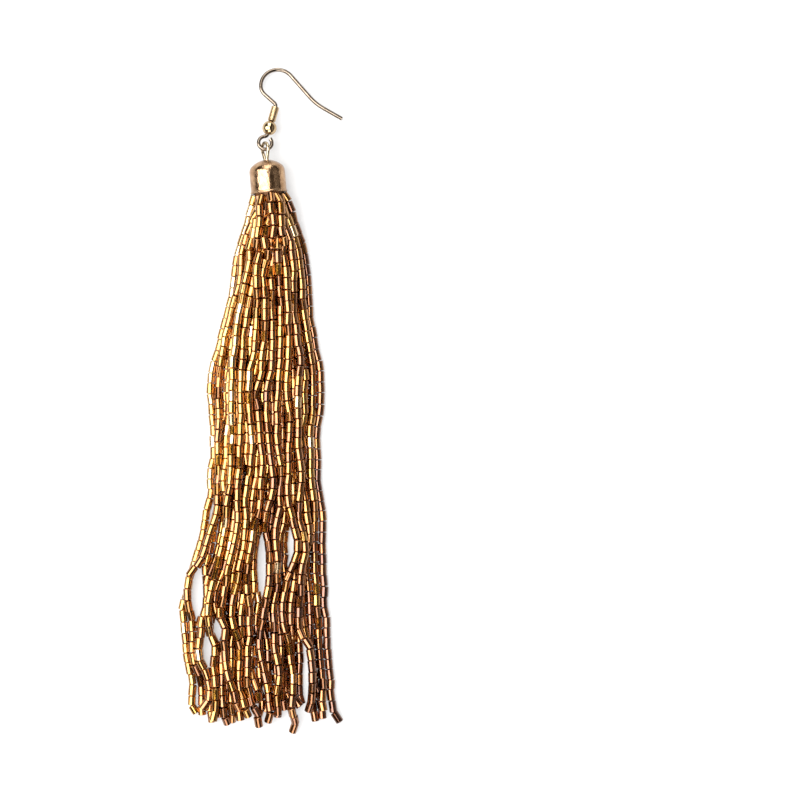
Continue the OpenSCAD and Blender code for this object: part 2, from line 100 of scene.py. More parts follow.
# %% Strands from left to right, a row for each
# lanes: -1 at the left edge, 1 at the right edge, at each place of LANE_AT after the mouth
# levels: 0 on the surface, 1 on top of the pile, at each place of LEVEL_AT after the mouth
# reach: where the strand ends, as a share of the length
# [[neck, shoulder, middle, low, slit, fork, knot, tail, end], [neck, middle, fork, end], reach]
STRANDS = [
    [[-1.00, -1.00, -1.00, -1.00, -1.00, -1.00, -1.00, -1.00, -0.99], [0.5, 0.0, 0.0, 0.0], 0.962],
    [[-0.90, -0.92, -0.92, -0.92, -0.92, -0.94, -0.93, -0.93, -0.91], [0.9, 0.4, 0.4, 0.4], 0.964],
    [[-0.82, -0.84, -0.84, -0.84, -0.85, -0.83, -0.86, -0.86, -0.83], [0.0, 0.0, 0.0, 0.0], 0.978],
    [[-0.74, -0.76, -0.77, -0.77, -0.78, -0.76, -0.81, -0.80, -0.76], [0.5, 0.5, 0.5, 0.5], 0.955],
    [[-0.66, -0.69, -0.70, -0.70, -0.70, -0.70, -0.73, -0.74, -0.70], [1.0, 1.0, 1.0, 1.0], 0.974],
    [[-0.60, -0.62, -0.63, -0.63, -0.63, -0.64, -0.62, -0.67, -0.65], [0.0, 0.0, 0.0, 0.0], 0.968],
    [[-0.54, -0.55, -0.57, -0.56, -0.56, -0.58, -0.57, -0.61, -0.59], [0.5, 0.5, 0.5, 0.5], 0.982],
    [[-0.48, -0.49, -0.50, -0.50, -0.50, -0.51, -0.50, -0.49, -0.26], [1.0, 1.0, 1.0, 1.4], 0.972],
    [[-0.42, -0.43, -0.44, -0.43, -0.44, -0.45, -0.44, -0.53, -0.51], [0.0, 0.0, 0.0, 0.0], 0.956],
    [[-0.36, -0.37, -0.38, -0.37, -0.38, -0.39, -0.38, -0.46, -0.44], [0.5, 0.5, 0.5, 0.5], 0.978],
    [[-0.29, -0.30, -0.31, -0.30, -0.31, -0.32, -0.31, -0.34, -0.13], [1.0, 1.0, 1.0, 1.4], 0.966],
    [[-0.23, -0.24, -0.26, -0.25, -0.27, -0.27, -0.26, -0.38, -0.37], [0.0, 0.0, 0.0, 0.0], 0.950],
    [[-0.17, -0.18, -0.20, -0.19, -0.21, -0.21, -0.19, -0.29, -0.31], [0.5, 0.5, 0.5, 0.5], 0.975],
    [[-0.10, -0.10, -0.11, -0.10, -0.14, -0.14, -0.12, -0.14, -0.06], [1.0, 1.0, 1.0, 1.0], 0.985],
    [[-0.03, -0.02, -0.03, -0.02, -0.07, -0.07, -0.05, -0.09, -0.12], [0.5, 0.5, 0.5, 0.5], 0.958],
    [[0.03, 0.03, 0.03, 0.03, -0.01, -0.01, 0.01, -0.02, -0.01], [0.0, 0.0, 0.0, 0.0], 0.972],
    [[0.10, 0.10, 0.10, 0.10, 0.15, 0.12, 0.10, 0.10, 0.10], [1.0, 1.0, 1.0, 1.0], 0.976],
    [[0.17, 0.17, 0.17, 0.17, 0.20, 0.18, 0.17, 0.16, 0.16], [0.5, 0.5, 0.5, 0.5], 0.960],
    [[0.23, 0.23, 0.24, 0.23, 0.25, 0.24, 0.23, 0.22, 0.21], [0.0, 0.0, 0.0, 0.0], 0.968],
    [[0.30, 0.30, 0.31, 0.30, 0.31, 0.31, 0.30, 0.29, 0.28], [1.0, 1.0, 1.0, 1.0], 0.963],
    [[0.36, 0.37, 0.38, 0.37, 0.36, 0.38, 0.37, 0.35, 0.34], [0.5, 0.5, 0.5, 0.5], 0.952],
    [[0.42, 0.43, 0.44, 0.43, 0.41, 0.44, 0.43, 0.41, 0.40], [0.0, 0.0, 0.0, 0.0], 0.957],
    [[0.48, 0.49, 0.50, 0.50, 0.59, 0.51, 0.50, 0.48, 0.52], [1.0, 1.0, 1.0, 1.0], 1.000],
    [[0.54, 0.55, 0.57, 0.56, 0.64, 0.57, 0.56, 0.53, 0.51], [0.5, 0.5, 0.5, 0.5], 0.950],
    [[0.60, 0.62, 0.63, 0.63, 0.69, 0.63, 0.62, 0.59, 0.58], [0.0, 0.0, 0.0, 0.0], 0.944],
    [[0.66, 0.69, 0.70, 0.70, 0.74, 0.70, 0.71, 0.76, 0.75], [1.0, 1.0, 1.0, 1.0], 0.958],
    [[0.74, 0.76, 0.77, 0.77, 0.80, 0.77, 0.78, 0.82, 0.81], [0.5, 0.5, 0.5, 0.5], 0.976],
    [[0.82, 0.84, 0.84, 0.84, 0.86, 0.84, 0.85, 0.87, 0.87], [0.0, 0.0, 0.0, 0.0], 0.970],
    [[0.90, 0.92, 0.92, 0.92, 0.93, 0.93, 0.93, 0.94, 0.94], [0.9, 0.4, 0.4, 0.4], 0.956],
    [[1.00, 1.00, 1.00, 1.00, 1.00, 1.00, 1.00, 1.00, 1.00], [0.5, 0.0, 0.0, 0.0], 0.980],
]
print("strands:", len(STRANDS))


# %% Smooth curves between the rows
def smooth(t, keys, values):
    """Smooth curve through values given at keys, read at the places t."""
    keys, values = np.asarray(keys, float), np.asarray(values, float)
    slopes = np.zeros(len(keys))
    slopes[1:-1] = (values[2:] - values[:-2]) / (keys[2:] - keys[:-2])
    i = np.clip(np.searchsorted(keys, t, side="right") - 1, 0, len(keys) - 2)
    w = keys[i + 1] - keys[i]
    s = (t - keys[i]) / w
    return (
        (2 * s**3 - 3 * s**2 + 1) * values[i]
        + (s**3 - 2 * s**2 + s) * w * slopes[i]
        + (3 * s**2 - 2 * s**3) * values[i + 1]
        + (s**3 - s**2) * w * slopes[i + 1]
    )


def section_at(t, column):
    """A column of SECTIONS at the places t."""
    return smooth(t, SECTIONS[:, PLACE], SECTIONS[:, column])


def lane_at(i, t):
    """Lane of strand i at the places t. Its lane in the mouth is the one at the neck."""
    lanes = STRANDS[i][0]
    return smooth(t, LANE_AT, [lanes[0], *lanes])


def level_at(i, t):
    """Level of strand i at the places t. Its level in the mouth is the one at the neck."""
    levels = STRANDS[i][1]
    return smooth(t, LEVEL_AT, [levels[0], *levels])


# %% Middle line of each strand
# The outermost strands lie clear of the others, which keep to this share of the width
INNER = 0.93


def strand_line(i, t):
    """Middle of strand i at the places t, in millimetres."""
    share = 1 if i in (0, len(STRANDS) - 1) else INNER
    lane, level = lane_at(i, t), level_at(i, t)
    half_w = CAP_D / 2 + section_at(t, FLARE) * (FRINGE_W - CAP_D) / 2
    depth = CAP_D + section_at(t, FLAT) * (FRINGE_T - CAP_D)
    laid = np.minimum(1, section_at(t, LAID))
    # The pile is round in the cap and flatter on the surface, and thins out to both edges
    round_top = np.sqrt(np.clip(1 - lane**2, 0, 1))
    laid_top = np.sqrt(np.clip(1 - lane**4, 0, 1))
    round_z = CAP_AXIS_Z + (2 * level - 1) * (depth / 2 - STRAND_R) * round_top
    laid_z = STRAND_R + level * (depth - STRAND_D) * laid_top
    x = section_at(t, DRIFT) * FRINGE_W + share * lane * (half_w - STRAND_R)
    return np.stack([x, -t * FRINGE_L, round_z + laid * (laid_z - round_z)], 1) + MOUTH


print("left strand ends at", np.round(strand_line(0, np.array([STRANDS[0][2]]))[0], 1), "mm")

# %% [markdown]
# ## Strands of whole beads
# A strand is a row of beads on a thread, so its length is a whole number of beads. The beads are
# cut by hand and differ in length, and the strand sways as it falls. Thirty strands don't fit side
# by side in the mouth of the cap, so only the outer ones start there and the others come out between
# them further down. Each strand is marked off in half beads: the odd marks are the middles of its
# beads, and the others are where two beads meet.

# %% Where each strand starts
# Outer strands start at the mouth or just below it, in groups of one strand from each layer that
# take turns, and inner strands start further down
START_AT = [0.003, 0.03, 0.075]
INNER_START = 2
LAYERS = 3
# An outer strand lies at an edge, the bottom or the top of the bundle in the mouth
EDGE_LANE = 0.95
EDGE_LEVEL = 0.5


def strand_start(i):
    """Place at which strand i starts."""
    lane, level = STRANDS[i][0][0], STRANDS[i][1][0]
    outer = abs(lane) > EDGE_LANE or abs(2 * level - 1) > EDGE_LEVEL
    from_edge = min(i, len(STRANDS) - 1 - i)
    # The cap leans, so the right end of its rim lies nearer the hook than the left end
    rim_rise = math.tan(CAP_LEAN) * lane * (CAP_D / 2 - STRAND_R) / FRINGE_L
    return START_AT[from_edge // LAYERS % 2 if outer else INNER_START] - rim_rise


starts = [strand_start(i) for i in range(len(STRANDS))]
print("starts:", round(min(starts) * FRINGE_L, 1), "to", round(max(starts) * FRINGE_L, 1), "mm down")


# %% Mark each strand off in half beads
# How much longer or shorter than the others a bead can be, as a share
LENGTH_SPREAD = 0.14
# A slow sway and a quicker ripple, in millimetres, with their waves over the length of the fringe
SWAY = 0.62
RIPPLE = 0.26
SWAY_WAVES = (3.2, 5.6)
RIPPLE_TIMES = 2.6
# The outermost strands sway less, and the sway grows from nothing at the mouth
EDGE_SWAY = 0.5
FULL_SWAY_AT = 0.15
# Points by which a strand's length is measured
SAMPLES = 600
rng = np.random.default_rng(11)


def half_beads(i):
    """Points half a bead apart down strand i, with the sway it has between its neighbours."""
    t = np.linspace(starts[i], STRANDS[i][2], SAMPLES)
    line = strand_line(i, t)
    free = (1 - EDGE_SWAY * np.abs(lane_at(i, t))) * np.clip(t / FULL_SWAY_AT, 0, 1)
    waves = rng.uniform(*SWAY_WAVES, 2) * np.array([1, RIPPLE_TIMES])
    phases = rng.uniform(0, 2 * math.pi, 2)
    sway = SWAY * np.sin(2 * math.pi * waves[0] * t + phases[0])
    sway += RIPPLE * np.sin(2 * math.pi * waves[1] * t + phases[1])
    line[:, 0] += free * sway
    along = np.concatenate([[0], np.cumsum(np.linalg.norm(np.diff(line, axis=0), axis=1))])
    count = int(round(along[-1] / PITCH))
    lengths = rng.uniform(1 - LENGTH_SPREAD, 1 + LENGTH_SPREAD, count)
    marks = np.concatenate([[0], np.cumsum(np.repeat(lengths, 2))])
    at = marks * along[-1] / marks[-1]
    return np.stack([np.interp(at, along, line[:, k]) for k in range(3)], 1)


strand_marks = [half_beads(i) for i in range(len(STRANDS))]
print("beads:", sum(len(m) // 2 for m in strand_marks))

# %% [markdown]
# ## Let the strands settle
# Real strands can't pass through each other. They push their neighbours aside, sink between them
# and rest on the surface. A full cloth or rigid simulation of fourteen hundred beads is slow, so
# a short solver does the same job on the marks: a little weight, a pull back to the lane, a push
# wherever two strands are closer than a bead's width, and a thread that keeps its length.
# In a few places the strands part and the surface shows between them. Those slits are given as
# ovals, and each strand is pushed to the side of a slit that it passes on anyway.

# %% Slits between the strands, a row for each, in millimetres
# [x, y, half width, half length]
SLITS = np.array([
    [0.2, -34.6, 0.9, 7.0],
    [6.3, -30.2, 0.7, 2.8],
    [-13.4, -40.6, 1.2, 5.0],
    [-11.3, -52.2, 0.9, 3.4],
    [-9.1, -48.2, 0.9, 1.6],
    [9.4, -58.3, 0.6, 7.4],
])
# Share of a push that is made at a time, so that pushes against each other calm down
EASE = 0.5


def slit_sides(points, strand):
    """Side of each slit that each mark keeps to, the side its strand is on as it passes the slit."""
    sides = np.zeros((len(SLITS), len(points)))
    for k, (x, y, _, half_l) in enumerate(SLITS):
        beside = np.abs(points[:, 1] - y) < half_l
        for i in np.unique(strand[beside]):
            own = strand == i
            sides[k, own] = np.sign(points[own & beside, 0].mean() - x)
    return sides


def open_slits(points, sides):
    """Moves the marks out of the slits, sideways."""
    for (x, y, half_w, half_l), side in zip(SLITS, sides):
        painted_light_across = 1 - ((points[:, 1] - y) / (half_l + STRAND_R)) ** 2
        edge = x + side * (half_w + STRAND_R) * np.sqrt(np.clip(painted_light_across, 0, 1))
        missing = np.maximum((edge - points[:, 0]) * side, 0) * (painted_light_across > 0)
        points[:, 0] += EASE * side * missing


print("slits:", len(SLITS), "the longest", 2 * SLITS[:, 3].max(), "mm")


# %% Helpers that keep strands apart and threads at their length
# Two marks in the same place count as this far apart, because the distance is divided by
TINY = 1e-6


def near_pairs(points, strand, reach):
    """Pairs of marks on different strands that are closer than reach."""
    tree = kdtree.KDTree(len(points))
    for k, p in enumerate(points):
        tree.insert(p, k)
    tree.balance()
    pairs = [
        (a, b)
        for a, p in enumerate(points)
        for _, b, _ in tree.find_range(p, reach)
        if a < b and strand[a] != strand[b]
    ]
    return np.array(pairs)


def push_apart(points, pairs, gap):
    """Moves each pair of marks that is closer than gap apart."""
    a, b = pairs[:, 0], pairs[:, 1]
    off = points[b] - points[a]
    far = np.maximum(np.linalg.norm(off, axis=1), TINY)
    push = (EASE * np.maximum(gap - far, 0) / far / 2)[:, None] * off
    np.subtract.at(points, a, push)
    np.add.at(points, b, push)


def keep_length(points, links, lengths):
    """Pulls the two marks of each link back to the link's length."""
    a, b = links[:, 0], links[:, 1]
    off = points[b] - points[a]
    far = np.maximum(np.linalg.norm(off, axis=1), TINY)
    pull = ((far - lengths) / far / 2)[:, None] * off
    points[a] += pull
    points[b] -= pull


ROUNDS = 240
CALM_AFTER = 0.8
CALM_PULL = 0.4
# Near pairs are looked for now and then, this many widths of a strand around each mark
SEARCH_EVERY = 12
SEARCH_WIDTHS = 1.5
# Millimetres that a free strand sinks in a round
WEIGHT = 0.02
# Shares of the way back to its height and its lane that a mark is pulled in a round. The cap holds
# the top of the bundle up and together, and lets go of it at the places that end in _TO.
HEIGHT_PULL = 0.12
HEIGHT_PULL_TO = 0.2
LANE_PULL = 0.04
CAP_PULL = 0.16
CAP_PULL_TO = 0.3


def settle(strands, rounds):
    """Lets the strands settle on the surface and against each other."""
    points = np.concatenate(strands)
    home = points.copy()
    strand = np.concatenate([np.full(len(s), i) for i, s in enumerate(strands)])
    first = np.concatenate([[0], np.cumsum([len(s) for s in strands])[:-1]])
    links = np.stack([np.arange(len(points) - 1), np.arange(1, len(points))], 1)
    links = links[strand[links[:, 0]] == strand[links[:, 1]]]
    lengths = np.linalg.norm(points[links[:, 1]] - points[links[:, 0]], axis=1)
    down = (MOUTH[1] - home[:, 1]) / FRINGE_L
    held = HEIGHT_PULL * np.clip(1 - down / HEIGHT_PULL_TO, 0, 1)
    drawn_in = LANE_PULL + CAP_PULL * np.clip(1 - down / CAP_PULL_TO, 0, 1)[:, None]
    sides = slit_sides(home, strand)
    for k in range(rounds):
        if k % SEARCH_EVERY == 0:
            pairs = near_pairs(points, strand, SEARCH_WIDTHS * STRAND_D)
        calm = k > rounds * CALM_AFTER
        points[:, 2] -= (0 if calm else WEIGHT) * (held == 0)
        points[:, 2] += held * (home - points)[:, 2]
        points[:, :2] += (CALM_PULL if calm else 1) * drawn_in * (home - points)[:, :2]
        # Every second link at a time, so that no mark is pulled twice at once
        for half in (slice(0, None, 2), slice(1, None, 2)):
            keep_length(points, links[half], lengths[half])
        push_apart(points, pairs, STRAND_D)
        open_slits(points, sides)
        points[:, 2] = np.maximum(points[:, 2], STRAND_R)
        points[first] = home[first]
    far = np.linalg.norm(points[pairs[:, 1]] - points[pairs[:, 0]], axis=1)
    overlaps = np.maximum(STRAND_D - far, 0)
    print("settled: deepest overlap", round(float(overlaps.max()), 2), "mm,",
          "mean overlap", round(float(overlaps.mean()), 3), "mm,",
          "top", round(float(points[:, 2].max()) + STRAND_R, 2), "mm")
    return np.split(points, first[1:])


settled = settle(strand_marks, ROUNDS)

# %% Turn the last bead of each strand
# Spread of the turns, in radians
LAST_TURN = 0.42


def turn_last(points, angle):
    """Turns the last bead of a strand aside on its thread, flat above the surface."""
    joint, off = points[-3], points[-2:] - points[-3]
    points[-2:] = joint + off @ np.array(Euler((0, 0, angle)).to_matrix()).T
    return points


settled = [turn_last(points, rng.normal(0, LAST_TURN)) for points in settled]
print("ends, from the left, in mm down:", [round(float(MOUTH[1] - s[-1, 1])) for s in settled])

# %% [markdown]
# ## One bead
# The beads are short round tubes with a small bevel at each end and a bore for the thread. A bead
# could be a cylinder with a hole cut in it, but a profile that is turned about an axis gives the
# bore, the ends and the bevels in one go, with few faces. Ten sides are enough, because smooth
# shading rounds them, and the bevels stay crisp: they catch the light at each joint, so that a
# strand reads as a row of beads and not as one tube.

# %% Make the bead
BEAD_SIDES = 10
# Edges that turn by more than this stay sharp
CRISP = math.radians(40)
# Rings of the bead's surface, as shares of the strand's radius and the bead's length
# [radius, height]
BEAD_PROFILE = [(0.42, -0.50), (0.88, -0.50), (1.00, -0.45), (1.00, 0.45), (0.88, 0.50), (0.42, 0.50)]


def turned(name, profile, sides):
    """Closed mesh from a closed profile of (radius, height), in metres, turned about Z."""
    rings = len(profile)
    angles = np.linspace(0, 2 * math.pi, sides, endpoint=False)
    verts = [(r * math.cos(a), r * math.sin(a), h) for r, h in profile for a in angles]
    faces = [
        (k * sides + j, k * sides + (j + 1) % sides,
         (k + 1) % rings * sides + (j + 1) % sides, (k + 1) % rings * sides + j)
        for k in range(rings)
        for j in range(sides)
    ]
    mesh = bpy.data.meshes.new(name)
    mesh.from_pydata(verts, [], faces)
    mesh.validate()
    mesh.shade_smooth()
    mesh.set_sharp_from_angle(angle=CRISP)
    return mesh


bead_mesh = turned("tube_bead", [(r * STRAND_R * MM, h * MM) for r, h in BEAD_PROFILE], BEAD_SIDES)
bead = bpy.data.objects.new("tube_bead", bead_mesh)
print("bead:", len(bead_mesh.polygons), "faces")

# %% [markdown]
# ## Glass for the beads
# The beads are glass lined with gold, so they look like dark amber metal under clear glass. Glass
# that light goes through would need a gold lining in each bead and many more samples. A metal under
# a clear coat looks much the same from outside: the metal gives the warm body and the coat the pale
# glint. Beads of one batch differ a little, and each has a number of its own, stored on it below,
# that picks its shade between copper, amber, honey and champagne. The number also carries painted
# light and shade: strands at the left are painted yellower and those right of the middle darker, as
# the big lamp at the left lights them, and each strand gets darker towards its end.

# %% Helpers for materials
# The middle part of a noise, where most of its values lie
NOISE_LOW, NOISE_HIGH = 0.3, 0.7


def new_material(name):
    """New material, its node tree and its shader."""
    material = bpy.data.materials.new(name)
    material.use_nodes = True
    tree = material.node_tree
    return material, tree, tree.nodes["Principled BSDF"]


def ramp(tree, source, stops):
    """Colour that a source picks from the given (place, linear colour) stops."""
    node = tree.nodes.new("ShaderNodeValToRGB")
    elements = node.color_ramp.elements
    while len(elements) < len(stops):
        elements.new(0.5)
    for element, (place, colour) in zip(elements, stops):
        element.position = place
        element.color = (*colour, 1)
    tree.links.new(source, node.inputs["Fac"])
    return node.outputs["Color"]


def noise(tree, cells, stretch=(1, 1, 1), detail=3.0):
    """Noise over the object: cells a metre along each axis, times the axis's stretch."""
    place = tree.nodes.new("ShaderNodeTexCoord")
    mapping = tree.nodes.new("ShaderNodeMapping")
    mapping.inputs["Scale"].default_value = stretch
    node = tree.nodes.new("ShaderNodeTexNoise")
    node.inputs["Scale"].default_value = cells
    node.inputs["Detail"].default_value = detail
    tree.links.new(place.outputs["Object"], mapping.inputs["Vector"])
    tree.links.new(mapping.outputs["Vector"], node.inputs["Vector"])
    return node.outputs["Fac"]


def spread_between(tree, source, low, high):
    """Value that runs from low to high, each a number or a socket, over the middle of a noise."""
    node = tree.nodes.new("ShaderNodeMapRange")
    node.inputs["From Min"].default_value = NOISE_LOW
    node.inputs["From Max"].default_value = NOISE_HIGH
    tree.links.new(source, node.inputs["Value"])
    for name, value in (("To Min", low), ("To Max", high)):
        if isinstance(value, (int, float)):
            node.inputs[name].default_value = value
        else:
            tree.links.new(value, node.inputs[name])
    return node.outputs["Result"]


def relief(tree, shader, height, microns):
    """Gives the shader's surface a relief, this many microns deep, from a height of 0 to 1."""
    bump = tree.nodes.new("ShaderNodeBump")
    bump.inputs["Distance"].default_value = microns * 1e-6
    tree.links.new(height, bump.inputs["Height"])
    tree.links.new(bump.outputs["Normal"], shader.inputs["Normal"])


# %% Amber-gold glass
BEAD_SHADES = [
    (0.00, (0.125, 0.032, 0.003)),
    (0.30, (0.258, 0.083, 0.004)),
    (0.55, (0.410, 0.165, 0.008)),
    (0.80, (0.560, 0.295, 0.036)),
    (1.00, (0.720, 0.530, 0.300)),
]
# Brown that the shade is multiplied by where the glass is cloudy, and by how much at most
CLOUD = (0.62, 0.5, 0.42, 1)
CLOUDIEST = 0.7


def bead_glass():
    """Gold under a clear coat, in the shade that each bead carries."""
    material, tree, shader = new_material("amber_gold_glass")
    shader.inputs["Metallic"].default_value = 1.0
    shader.inputs["Coat Weight"].default_value = 0.45
    shader.inputs["Coat IOR"].default_value = 2.2
    shader.inputs["Coat Roughness"].default_value = 0.06
    # Each bead's shade, which also holds painted light and shade across the fringe
    shade_and_painted_light = tree.nodes.new("ShaderNodeAttribute")
    shade_and_painted_light.attribute_name = "tone_with_painted_light"
    cloud = tree.nodes.new("ShaderNodeMix")
    cloud.data_type = "RGBA"
    cloud.blend_type = "MULTIPLY"
    cloud.inputs["B"].default_value = CLOUD
    tree.links.new(spread_between(tree, noise(tree, cells=900), 0, CLOUDIEST), cloud.inputs["Factor"])
    tree.links.new(ramp(tree, shade_and_painted_light.outputs["Fac"], BEAD_SHADES), cloud.inputs["A"])
    tree.links.new(cloud.outputs["Result"], shader.inputs["Base Color"])
    tree.links.new(spread_between(tree, noise(tree, cells=1500), 0.08, 0.2), shader.inputs["Roughness"])
    return material


glass = bead_glass()
print("finish:", glass.name, "with", len(glass.node_tree.nodes), "nodes")

# %% [markdown]
# ## Metals
# The hook is silver-brown wire, its coil and ball and the cap's eye are pale gold, and the cap is
# rose gold. Each could have a material built from nothing, but they differ only in colour and wear,
# so they share one group of nodes: a faint tarnish in patches, small changes of gloss and fine
# scratches along the length. The cap gets more relief than the wires, because the highlight on it
# is uneven.

# %% Group of nodes for polished metal
# How far the most tarnished patches take on the tarnish's colour
MOST_TARNISH = 0.8


def metal_group():
    """Colour, roughness and height of polished metal that has been worn and handled."""
    tree = bpy.data.node_groups.new("polished_metal", "ShaderNodeTree")
    for name, kind in (("Colour", "NodeSocketColor"), ("Tarnish", "NodeSocketColor"),
                       ("Smoothest", "NodeSocketFloat"), ("Roughest", "NodeSocketFloat")):
        tree.interface.new_socket(name=name, in_out="INPUT", socket_type=kind)
    for name, kind in (("Colour", "NodeSocketColor"), ("Roughness", "NodeSocketFloat"),
                       ("Height", "NodeSocketFloat")):
        tree.interface.new_socket(name=name, in_out="OUTPUT", socket_type=kind)
    given = tree.nodes.new("NodeGroupInput").outputs
    result = tree.nodes.new("NodeGroupOutput").inputs
    stain = tree.nodes.new("ShaderNodeMix")
    stain.data_type = "RGBA"
    patches = noise(tree, cells=700, detail=5.0)
    tree.links.new(spread_between(tree, patches, 0, MOST_TARNISH), stain.inputs["Factor"])
    tree.links.new(given["Colour"], stain.inputs["A"])
    tree.links.new(given["Tarnish"], stain.inputs["B"])
    tree.links.new(stain.outputs["Result"], result["Colour"])
    gloss = spread_between(tree, noise(tree, cells=1400), given["Smoothest"], given["Roughest"])
    tree.links.new(gloss, result["Roughness"])
    tree.links.new(noise(tree, cells=2200, stretch=(1, 0.5, 1)), result["Height"])
    return tree


polished = metal_group()
print("group:", polished.name, "with", len(polished.nodes), "nodes")


# %% Metals, and the pieces that get them
def metal(name, colour, tarnish, smoothest, roughest, microns):
    """Polished metal of a colour, with tarnish, a range of roughness and a relief."""
    material, tree, shader = new_material(name)
    shader.inputs["Metallic"].default_value = 1.0
    look = tree.nodes.new("ShaderNodeGroup")
    look.node_tree = polished
    look.inputs["Colour"].default_value = (*colour, 1)
    look.inputs["Tarnish"].default_value = (*tarnish, 1)
    look.inputs["Smoothest"].default_value = smoothest
    look.inputs["Roughest"].default_value = roughest
    tree.links.new(look.outputs["Colour"], shader.inputs["Base Color"])
    tree.links.new(look.outputs["Roughness"], shader.inputs["Roughness"])
    relief(tree, shader, look.outputs["Height"], microns)
    return material


# [name, colour, tarnish, smoothest, roughest, relief in microns, pieces]
METALS = [
    ["silver_brown_wire", (0.27, 0.22, 0.17), (0.15, 0.11, 0.08), 0.10, 0.20, 4, ["ear_hook"]],
    ["pale_gold", (0.62, 0.47, 0.28), (0.40, 0.27, 0.14), 0.08, 0.20, 4, ["hook_coil", "hook_ball"]],
    ["pale_gold_wire", (0.60, 0.50, 0.35), (0.34, 0.26, 0.16), 0.08, 0.20, 4, ["cap_eye"]],
    ["rose_gold", (0.54, 0.35, 0.20), (0.26, 0.14, 0.07), 0.14, 0.30, 70, ["tassel_cap"]],
]
for *look, pieces in METALS:
    finish = metal(*look)
    for slot in [slot for piece in pieces for slot in nodes[piece].material_slots]:
        slot.material = finish
    print("finish:", finish.name, "on", ", ".join(pieces))

# %% [markdown]
# ## Thread
# The thread is brown and dull. It shows only where two beads part, and is too thin for its twist to
# be seen. So no twisted fibres are modelled: a noise that is stretched along the thread stands for
# them.

# %% Brown thread
THREAD_BROWNS = [(0.35, (0.10, 0.035, 0.010)), (0.65, (0.24, 0.10, 0.030))]


def dull_thread():
    """Brown thread with fibres along its length."""
    material, tree, shader = new_material("brown_thread")
    shader.inputs["Roughness"].default_value = 0.7
    fibre = noise(tree, cells=4000, stretch=(1, 0.1, 1))
    tree.links.new(ramp(tree, fibre, THREAD_BROWNS), shader.inputs["Base Color"])
    relief(tree, shader, fibre, microns=30)
    return material


thread = dull_thread()
print("finish:", thread.name)

# %% [markdown]
# ## The fringe
# Beads on a thread repeat, so they aren't copied by hand. The settled marks become a mesh with one
# point for each bead, which carries the bead's direction, length and shade. A node tree puts a bead
# on each point. Another tree turns the rows of marks into threads. Making the beads real at the end
# lets the model leave Blender whole, and the two trees keep their settings as named inputs, so a
# change of bead or thread is one number.


# %% Helpers for node trees
def new_tree(name, inputs):
    """Geometry node tree with the named inputs and one result, and its inputs' sockets."""
    tree = bpy.data.node_groups.new(name, "GeometryNodeTree")
    for label, kind, value in inputs:
        socket = tree.interface.new_socket(name=label, in_out="INPUT", socket_type=kind)
        if value is not None:
            socket.default_value = value
    tree.interface.new_socket(name="Result", in_out="OUTPUT", socket_type="NodeSocketGeometry")
    return tree, tree.nodes.new("NodeGroupInput").outputs


def carried(tree, name, kind):
    """Value that each point carries under a name."""
    node = tree.nodes.new("GeometryNodeInputNamedAttribute")
    node.data_type = kind
    node.inputs["Name"].default_value = name
    return node.outputs["Attribute"]


def finished(tree, geometry, material):
    """Gives the geometry its material and makes it the tree's result."""
    finish = tree.nodes.new("GeometryNodeSetMaterial")
    tree.links.new(geometry, finish.inputs["Geometry"])
    tree.links.new(material, finish.inputs["Material"])
    tree.links.new(finish.outputs["Geometry"], tree.nodes.new("NodeGroupOutput").inputs["Result"])


# %% Tree that puts the beads on their points
# A bead is thinner than the strand by the width spread at most, and wider by this share of it
WIDER = 0.2


def bead_tree():
    """Puts a bead on each point, turned, stretched and finished."""
    tree, given = new_tree("beads_on_strands", [
        ("Strands", "NodeSocketGeometry", None),
        ("Bead", "NodeSocketObject", None),
        ("Width spread", "NodeSocketFloat", 0.05),
        ("Seed", "NodeSocketInt", 3),
        ("Finish", "NodeSocketMaterial", None),
    ])
    new, link = tree.nodes.new, tree.links.new
    spots = new("GeometryNodeMeshToPoints")
    link(given["Strands"], spots.inputs["Mesh"])
    shape = new("GeometryNodeObjectInfo")
    link(given["Bead"], shape.inputs["Object"])

    aim = new("FunctionNodeAlignRotationToVector")
    aim.axis = "Z"
    link(carried(tree, "bead_axis", "FLOAT_VECTOR"), aim.inputs["Vector"])

    # This node has sockets for each kind of value: 2 and 3 limit a plain number, and output 1 gives it
    width = new("FunctionNodeRandomValue")
    link(given["Seed"], width.inputs["Seed"])
    for socket, share in ((width.inputs[2], -1), (width.inputs[3], WIDER)):
        limit = new("ShaderNodeMath")
        limit.operation = "MULTIPLY_ADD"
        limit.inputs[1].default_value = share
        limit.inputs[2].default_value = 1
        link(given["Width spread"], limit.inputs[0])
        link(limit.outputs[0], socket)
    size = new("ShaderNodeCombineXYZ")
    link(width.outputs[1], size.inputs["X"])
    link(width.outputs[1], size.inputs["Y"])
    link(carried(tree, "bead_length", "FLOAT"), size.inputs["Z"])

    beads = new("GeometryNodeInstanceOnPoints")
    link(spots.outputs["Points"], beads.inputs["Points"])
    link(shape.outputs["Geometry"], beads.inputs["Instance"])
    link(aim.outputs["Rotation"], beads.inputs["Rotation"])
    link(size.outputs["Vector"], beads.inputs["Scale"])
    real = new("GeometryNodeRealizeInstances")
    link(beads.outputs["Instances"], real.inputs["Geometry"])
    finished(tree, real.outputs["Geometry"], given["Finish"])
    return tree


